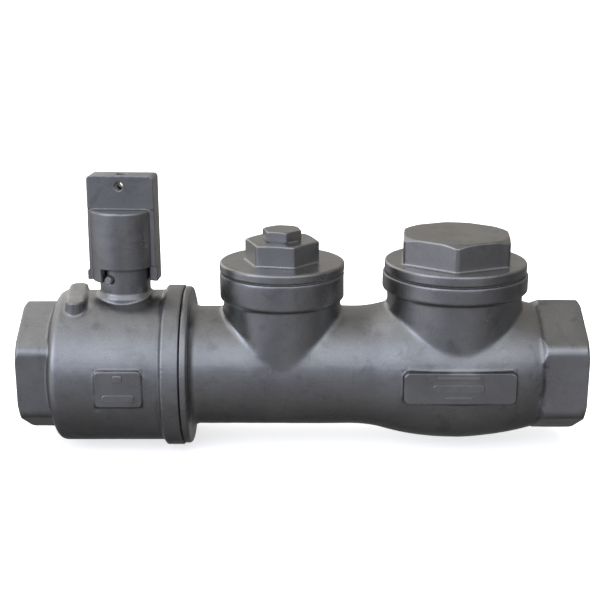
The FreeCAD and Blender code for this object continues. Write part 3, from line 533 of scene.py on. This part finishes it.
# painted shade: darker round the pad, in the crease by the inlet hexagon, at the feet of the port
# collars, along the joint seam, and on the port tops
def check_painted_shade(points):
    x, _, z = points.T
    pipe_r, cleanout_r, check_r = from_axes(points, CLEANOUT_X, CHECK_X)
    return strongest(
        pad_painted_shade(points, CHECK_PAD),
        0.75 * falloff(np.hypot(x - (END_X - 26.2), pipe_r - 37.6), 1.9),
        0.6 * falloff(np.hypot(cleanout_r - 35.4, z - 42.8), 1.5),
        0.6 * falloff(np.hypot(check_r - 40.5, z - 48.2), 1.5),
        0.7 * falloff(np.abs(x - JOINT_X), 0.6) * (pipe_r > 44),
        0.6 * (z > 58.45))  # port tops, painted shade under the caps


def head_frame(points):
    """Distance from the stem axis, distance across the head's bar, and z."""
    x, y, z = points[:, 0] - STEM_X, points[:, 1], points[:, 2]
    return np.hypot(x, y), np.abs(0.0785 * x + 0.9969 * y), z


def head_blend(points):
    stem_r, across, z = head_frame(points)
    return strongest(
        0.30 * falloff(np.hypot(stem_r - 19.2, across - 7.5), 1.6) * (z < 92),
        0.3 * falloff(np.hypot(across - 7.5, z - 97.0), 1.4))


def head_keep(points):
    stem_r, _, z = head_frame(points)
    return (stem_r < 16.2) & (z < 86)


# painted shade: black in the cavity round the stem, darker along the crease at the top of the bar
def head_painted_shade(points):
    stem_r, across, z = head_frame(points)
    return strongest(
        (stem_r < 16.4) & (z < 71),
        0.55 * falloff(np.hypot(across - 7.7, z - 97.2), 1.3))


def cap_skin(node, name, centre_x, foot, width, keep_below, **settings):
    """A hexagon-headed part; foot is the z where its head meets the flange."""
    top = top_z(node)

    def blend(points):
        radius = from_axes(points, centre_x)[1]
        z = points[:, 2]
        outer = radius > width * 0.43
        near_foot = (radius < width * 0.66) & (radius > width * 0.40)
        return strongest(
            0.7 * falloff(np.abs(z - top), 1.5) * outer,
            0.8 * falloff(np.abs(z - foot), 1.3) * near_foot)

    cast_skin(node, name, material=CAP, body=node, blend_at=blend,
              keep_at=lambda points: points[:, 2] < keep_below, **settings)


cast_skin("ball_valve_body", "ball_valve_casting", voxel=0.62, material=CAST, body="housing",
          blend_at=valve_blend, keep_at=valve_keep, painted_shade_at=valve_painted_shade, wave=0.045, seed=3,
          pits=[(47.8, -43.6, -13.0, 0.9, 0.5), (64.0, -44.8, 20.0, 1.1, 0.22),
                (30.0, -40.0, -26.0, 1.2, 0.2), (86.0, -46.0, 12.0, 0.9, 0.2)])
cast_skin("check_valve_body", "check_valve_casting", voxel=0.72, material=CAST, body="housing",
          blend_at=check_blend, keep_at=check_keep, painted_shade_at=check_painted_shade, blend_rounds=26, seed=5,
          pits=[(224.0, -34.0, 20.0, 1.3, 0.25), (281.0, -33.5, 12.0, 1.3, 0.16),
                (178.0, -34.0, -9.0, 1.4, 0.2), (204.0, -30.0, 19.0, 1.3, 0.22),
                (243.0, -41.0, -19.0, 1.2, 0.2), (296.0, -37.0, 8.0, 1.0, 0.22)])
cast_skin("operating_head", "operating_head_casting", voxel=0.42, material=HEAD, body="operator",
          blend_at=head_blend, keep_at=head_keep, painted_shade_at=head_painted_shade, max_tris=120000,
          polish=4, wave=0.035, seed=11)
cap_skin("check_cap", "check_cap_casting", CHECK_X, foot=65.7, width=61.8, keep_below=62.0,
         voxel=0.50, max_tris=150000, blend_rounds=7, wave=0.03, seed=21)
cap_skin("cleanout_cap", "cleanout_cap_casting", CLEANOUT_X, foot=65.0, width=39.2,
         keep_below=62.0, voxel=0.45, max_tris=130000, blend_rounds=10, wave=0.025, seed=23)
cap_skin("test_plug", "test_plug_forging", CLEANOUT_X, foot=70.0, width=21.0, keep_below=76.0,
         voxel=0.24, max_tris=60000, polish=4, wave=0.012, seed=27)


# ---------------------------------------------------------------- housing details
def housing_detail(name, bm, material):
    bmesh.ops.recalc_face_normals(bm, faces=bm.faces)
    obj = add_object(name, finish_mesh(name, bm))
    set_material(obj, material)
    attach(obj, "housing")
    return obj


def thread(name, mouth, inward, length=21.0, pitch=2.209, root=30.15, crest=28.75):
    """Helical ridge on a bore wall, tapering in with depth; inward is +1 or -1 along X."""
    per_turn = 96
    total = int(per_turn * (length / pitch))
    run_out = per_turn * 0.6  # steps over which the ridge fades at each end
    base, tip = 0.98, 0.16  # half widths of the ridge
    bm = bmesh.new()
    rows = []
    for i in range(total + 1):
        angle = 2 * math.pi * i / per_turn
        depth = 1.0 + pitch * i / per_turn
        fade = min(1.0, i / run_out, (total - i) / run_out)
        peak = root - (root - crest) * fade - depth / 32.0 * fade
        profile = [(-base, root + 0.12), (-base, root - 0.02), (-tip, peak),
                   (tip, peak), (base, root - 0.02), (base, root + 0.12)]
        rows.append([bm.verts.new(((mouth + inward * (depth + offset)) * MM,
                                   radius * math.cos(angle) * MM,
                                   -inward * radius * math.sin(angle) * MM))
                     for offset, radius in profile])
    for a, b in zip(rows, rows[1:]):
        for j in range(len(a)):
            k = (j + 1) % len(a)
            bm.faces.new((a[j], a[k], b[k], b[j]))
    bm.faces.new(rows[0])
    bm.faces.new(rows[-1][::-1])
    housing_detail(name, bm, THREAD)


def bar_outline(x_min, x_max, z_min, z_max, radius, steps=5):
    """Rounded rectangle as (x, z) points."""
    right, left = x_max - radius, x_min + radius
    top, bottom = z_max - radius, z_min + radius
    points = []
    for x, z, start in ((right, top, 0), (left, top, 90), (left, bottom, 180),
                        (right, bottom, 270)):
        for i in range(steps):
            angle = math.radians(start + 90 * i / (steps - 1))
            points.append((x + radius * math.cos(angle), z + radius * math.sin(angle)))
    return points


def relief(name, face_y, height, bars, draft=0.35):
    """Raised bars on a pad that faces -Y."""
    # inset from the outline and y of each ring, from the buried foot out to the face
    levels = ((0.0, face_y + 0.5), (draft * 0.6, face_y - height * 0.7),
              (draft * 1.5, face_y - height))
    bm = bmesh.new()
    for bar in bars:
        outline = np.array(bar_outline(*bar))
        centre = np.mean(outline, axis=0)
        rings = ([], [], [])
        for point in outline:
            arm = point - centre
            reach = np.linalg.norm(arm)
            for ring, (inset, y) in zip(rings, levels):
                x, z = centre + arm * ((reach - inset) / reach)
                ring.append(bm.verts.new((x * MM, y * MM, z * MM)))
        for a, b in zip(rings, rings[1:]):
            for i in range(len(a)):
                j = (i + 1) % len(a)
                bm.faces.new((a[i], a[j], b[j], b[i]))
        bm.faces.new(rings[0])
        bm.faces.new(rings[-1])
    bevel = housing_detail(name, bm, CAST).modifiers.new("soft", "BEVEL")
    bevel.width = 0.00018
    bevel.segments = 2
    bevel.limit_method = "ANGLE"
    bevel.angle_limit = math.radians(25)


thread("outlet_thread_ridges", mouth=0.0, inward=1.0)
thread("inlet_thread_ridges", mouth=END_X, inward=-1.0)

# bars: x from, x to, z from, z to, corner radius
relief("ball_valve_pad_bars", face_y=-45.9, height=0.9, bars=[
    (57.6, 63.4, 4.2, 8.8, 1.4), (51.0, 70.0, -7.6, -3.0, 1.8)])
relief("check_pad_bars", face_y=-44.7, height=0.85, bars=[
    (243.0, 268.4, 5.4, 7.3, 0.9), (240.6, 270.6, -2.2, 2.6, 1.8),
    (248.0, 264.0, -6.4, -4.7, 0.8)])

# ---------------------------------------------------------------- CAD nodes that keep their shape
for part_material, parts in (
        (BALL, ["ball"]),
        (PTFE, ["ball_seat_outlet", "ball_seat_inlet", "body_joint_seal", "stem_thrust_washer"]),
        (MACHINED, ["stem", "head_screw", "clapper_disc", "disc_washer", "disc_nut",
                    "disc_cotter_pin", "hinge_pin", "hinge_pin_plug"]),
        (RUBBER, ["stem_o_rings", "disc_seal_ring"]),
        (STOP_PIN, ["stop_pin"]),
        (FIBRE, ["test_plug_washer"]),
        (GASKET, ["cleanout_gasket", "check_gasket", "hinge_plug_washer"]),
        (INNER, ["clapper_arm"])):
    for part in parts:
        set_material(cad_nodes[part], part_material)


# ---------------------------------------------------------------- floor, world, lights, camera
def build_floor():
    bm = bmesh.new()
    bmesh.ops.create_grid(bm, x_segments=24, y_segments=24, size=45.0)
    floor = add_object("floor", finish_mesh("floor", bm))
    floor.location = (0.16, 1.0, cad_bounds[0][2] - 0.0002)
    set_material(floor, floor_paper())
    floor.visible_glossy = False


# brightness round the pipe axis: degrees (0 at -Y, 90 up, 180 at +Y), r, g, b
AROUND = [
    (-180, 0.27, 0.265, 0.26), (-150, 0.20, 0.195, 0.19), (-120, 0.065, 0.065, 0.065),
    (-90, 0.105, 0.103, 0.106), (-62, 0.18, 0.177, 0.182), (-40, 0.265, 0.262, 0.277),
    (-20, 0.295, 0.296, 0.326), (-6, 0.32, 0.328, 0.375), (6, 0.46, 0.48, 0.555),
    (16, 0.80, 0.84, 0.965), (27, 1.14, 1.21, 1.37), (40, 1.20, 1.27, 1.42),
    (52, 1.08, 1.13, 1.24), (62, 0.82, 0.84, 0.89), (74, 0.58, 0.58, 0.60),
    (92, 0.46, 0.455, 0.45), (113, 0.43, 0.42, 0.40), (136, 0.43, 0.415, 0.39),
    (160, 0.46, 0.44, 0.41), (180, 0.42, 0.40, 0.38)]
# gain along the pipe, for high and low directions: x of the direction, gain
ALONG_HIGH = [(-1.0, 1.8), (-0.35, 2.5), (-0.24, 2.65), (-0.15, 1.08), (0.0, 0.95), (0.20, 0.92),
              (0.36, 0.80), (1.0, 0.6)]
ALONG_LOW = [(-1.0, 1.9), (-0.85, 1.85), (-0.5, 1.2), (-0.25, 0.87), (-0.12, 0.87), (0.0, 0.95),
             (0.14, 1.03), (0.26, 1.04), (0.5, 0.85), (0.8, 0.60), (1.0, 0.22)]
# the ramps are stored scaled down, and the background strength scales them back up
AROUND_SCALE = 1.5
ALONG_SCALE = 0.4


def turn(degrees):
    return (degrees + 180.0) / 360.0


def along_ramp(tree, along, stops):
    """Ramp of gains, a little cooler toward -X."""
    colors = []
    for x, gain in stops:
        green, blue = (ALONG_SCALE, ALONG_SCALE) if x >= 0 else (0.41, 0.43)
        colors.append(((x + 1) / 2, (gain * ALONG_SCALE, gain * green, gain * blue, 1)))
    return tree.ramp(along, colors)


def build_world():
    """Plain white to the camera, a banded studio to everything else."""
    world = bpy.data.worlds.new("studio")
    bpy.context.scene.world = world
    tree = NodeTree(world)
    output = tree.node("OutputWorld")
    mixer = tree.node("MixShader")
    path = tree.node("LightPath")
    white = tree.node("Background")
    white.inputs["Color"].default_value = grey(1.0)
    white.inputs["Strength"].default_value = 1.0
    studio = tree.node("Background")
    parts = tree.node("SeparateXYZ")
    tree.feed(parts.inputs[0], tree.node("TexCoord").outputs["Generated"])
    x, y, z = (parts.outputs[axis] for axis in "XYZ")

    angle = tree.math("ARCTAN2", z, tree.math("MULTIPLY", y, -1.0))
    angle = tree.remap(angle, target=(0.0, 1.0), source=(-math.pi, math.pi))
    around = tree.ramp(angle, [(turn(degrees), tuple(c / AROUND_SCALE for c in rgb) + (1,))
                               for degrees, *rgb in AROUND])
    along = tree.remap(x, target=(0.0, 1.0), source=(-1.0, 1.0))
    ends = tree.remap(tree.math("ABSOLUTE", x), target=(0.0, 1.0), source=(0.82, 1.0))
    around = tree.mix("MIX", ends, around, (0.22, 0.22, 0.235, 1))
    high = along_ramp(tree, along, ALONG_HIGH)
    low = along_ramp(tree, along, ALONG_LOW)
    lift = tree.remap(angle, target=(0.0, 1.0), source=(turn(60), turn(92)))
    gain = tree.mix("MIX", lift, low, high)
    tree.feed(studio.inputs["Color"], tree.mix("MULTIPLY", 1.0, around, gain))
    studio.inputs["Strength"].default_value = AROUND_SCALE / ALONG_SCALE

    tree.feed(mixer.inputs[0], path.outputs["Is Camera Ray"])
    tree.feed(mixer.inputs[1], studio.outputs[0])
    tree.feed(mixer.inputs[2], white.outputs[0])
    tree.feed(output.inputs["Surface"], mixer.outputs[0])


def area_light(name, place, size, power, target=(0.165, 0.0, 0.02)):
    """Square soft light aimed at the target, unseen in reflections."""
    light = bpy.data.lights.new(name, "AREA")
    light.shape = "RECTANGLE"
    light.size = size
    light.size_y = size
    light.energy = power
    lamp = add_object(name, light)
    lamp.location = place
    aim = Vector(target) - Vector(place)
    lamp.rotation_euler = aim.to_track_quat("-Z", "Y").to_euler()
    lamp.visible_glossy = False


def build_camera():
    camera = bpy.data.cameras.new("camera")
    camera.lens = 67.8
    camera.sensor_width = 36.0
    viewer = add_object("camera", camera)
    viewer.location = (0.1647, -0.6528, 0.2248)
    viewer.rotation_euler = (math.radians(74.24), 0, 0)
    bpy.context.scene.camera = viewer


build_floor()
build_world()
area_light("top_soft", (0.10, 0.05, 1.35), size=1.8, power=20.0)
area_light("front_soft", (-0.35, -1.2, 0.95), size=0.9, power=5.0)
build_camera()
bpy.context.scene.view_settings.view_transform = "Standard"
